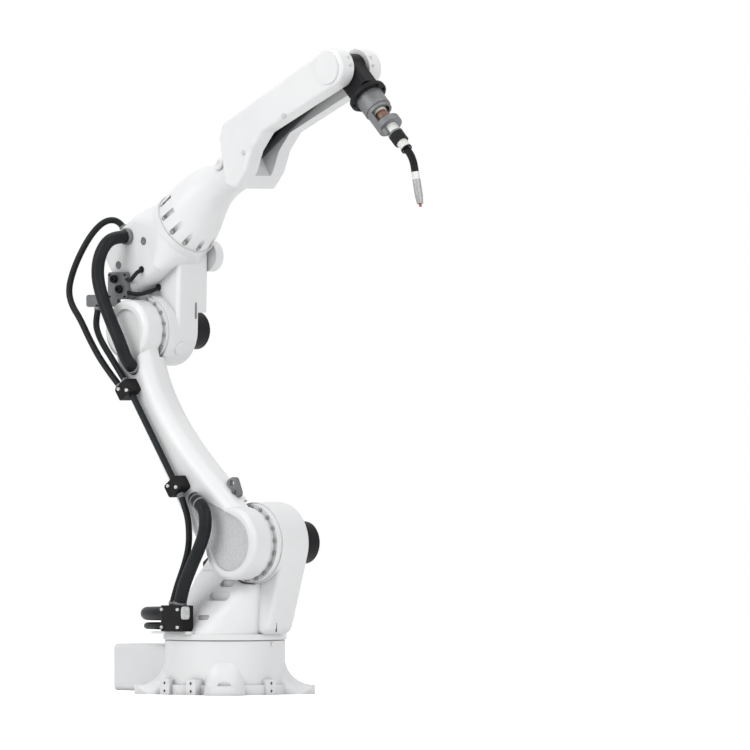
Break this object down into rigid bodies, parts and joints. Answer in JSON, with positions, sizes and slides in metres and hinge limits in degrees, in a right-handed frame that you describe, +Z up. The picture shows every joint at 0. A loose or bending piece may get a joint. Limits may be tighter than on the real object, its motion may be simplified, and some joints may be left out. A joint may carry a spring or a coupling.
{
  "type": "industrial robot arm",
  "caption": "Six-axis arc welding robot arm on a round footed base, with a bowed lower arm, a forked hollow forearm and a bent welding torch",
  "frame": {"origin": "on the floor, on the axis that the waist turns about", "axes": "+X forward along the arm, +Y to the robot's left, +Z up"},
  "size_m": [1.2992, 0.4152, 1.8809],
  "materials": {
    "black_motor": "satin black paint",
    "black_plastic": "matt black moulding",
    "black_rubber": "matt black hose jacket",
    "brown_insulator": "brown laminate",
    "copper": "copper",
    "grey_cast": "bare cast aluminium",
    "grey_metal": "machined aluminium",
    "nozzle_metal": "dull plated steel",
    "white_insulator": "white insulating plastic",
    "white_paint": "satin white paint over castings"
  },
  "bodies": {
    "base": {"base_casting": "white_paint", "connector_box": "white_paint", "base_rear_panel": "grey_metal"},
    "waist": {"waist_casting": "white_paint", "shoulder_gear_ring": "white_paint", "shoulder_motor": "black_motor", "waist_motor": "black_motor", "waist_hose_tray": "white_paint", "waist_hose_clamp": "black_plastic", "waist_thick_hose": "black_rubber", "waist_thin_hose": "black_rubber"},
    "lower_arm": {"lower_arm_casting": "white_paint", "shoulder_hub_cover": "grey_cast", "elbow_hub_cover": "white_paint", "lifting_lug": "grey_metal", "upper_hose_carrier": "black_plastic", "lower_hose_carrier": "black_plastic", "arm_thin_hose": "black_rubber", "shoulder_thick_hose": "black_rubber", "shoulder_thin_hose": "black_rubber", "elbow_thick_hose": "black_rubber", "elbow_thin_hose": "black_rubber", "elbow_outer_hose": "black_rubber"},
    "elbow": {"elbow_casting": "white_paint", "elbow_gear_ring": "white_paint", "elbow_motor": "black_motor", "roll_motor_cover": "white_paint", "connector_plate": "grey_metal", "hose_bracket": "grey_metal", "elbow_leads": "black_rubber"},
    "forearm": {"forearm_casting": "white_paint", "roll_ring": "white_paint", "wrist_cap_right": "white_paint", "wrist_cap_left": "white_paint", "torch_lead": "black_rubber"},
    "wrist": {"wrist_housing": "black_motor"},
    "tool": {"tool_flange": "black_motor", "torch_collar": "grey_metal", "torch_clamp": "grey_metal", "torch_core": "brown_insulator", "torch_body": "white_insulator", "clamp_plate": "grey_metal", "torch_nut": "black_plastic", "neck_collar": "white_insulator", "gooseneck": "black_plastic", "nozzle_insulator": "white_insulator", "gas_nozzle": "nozzle_metal", "contact_tip": "copper"}
  },
  "joints": [
    {"name": "waist_turn", "type": "hinge", "parent": "base", "child": "waist", "pos_m": [0, 0, 0.16], "axis": [0, 0, 1], "range_deg": [-170, 170]},
    {"name": "shoulder_swing", "type": "hinge", "parent": "waist", "child": "lower_arm", "pos_m": [0.165, 0, 0.444], "axis": [0, 1, 0], "range_deg": [-40, 125], "deforming": ["shoulder_thick_hose", "shoulder_thin_hose"]},
    {"name": "elbow_swing", "type": "hinge", "parent": "lower_arm", "child": "elbow", "pos_m": [-0.27092, 0, 1.06656], "axis": [0, -1, 0], "range_deg": [-75, 85], "deforming": ["elbow_thick_hose", "elbow_thin_hose", "elbow_outer_hose"]},
    {"name": "forearm_roll", "type": "hinge", "parent": "elbow", "child": "forearm", "pos_m": [-0.38131, 0, 1.23333], "axis": [0.8339, 0, 0.5519], "range_deg": [-150, 150]},
    {"name": "wrist_bend", "type": "hinge", "parent": "forearm", "child": "wrist", "pos_m": [0.51095, 0, 1.82391], "axis": [0, 1, 0], "range_deg": [-183, 27]},
    {"name": "tool_roll", "type": "hinge", "parent": "wrist", "child": "tool", "pos_m": [0.51095, 0, 1.82391], "axis": [0.7133, 0, -0.7009], "range_deg": [-200, 200]}
  ]
}
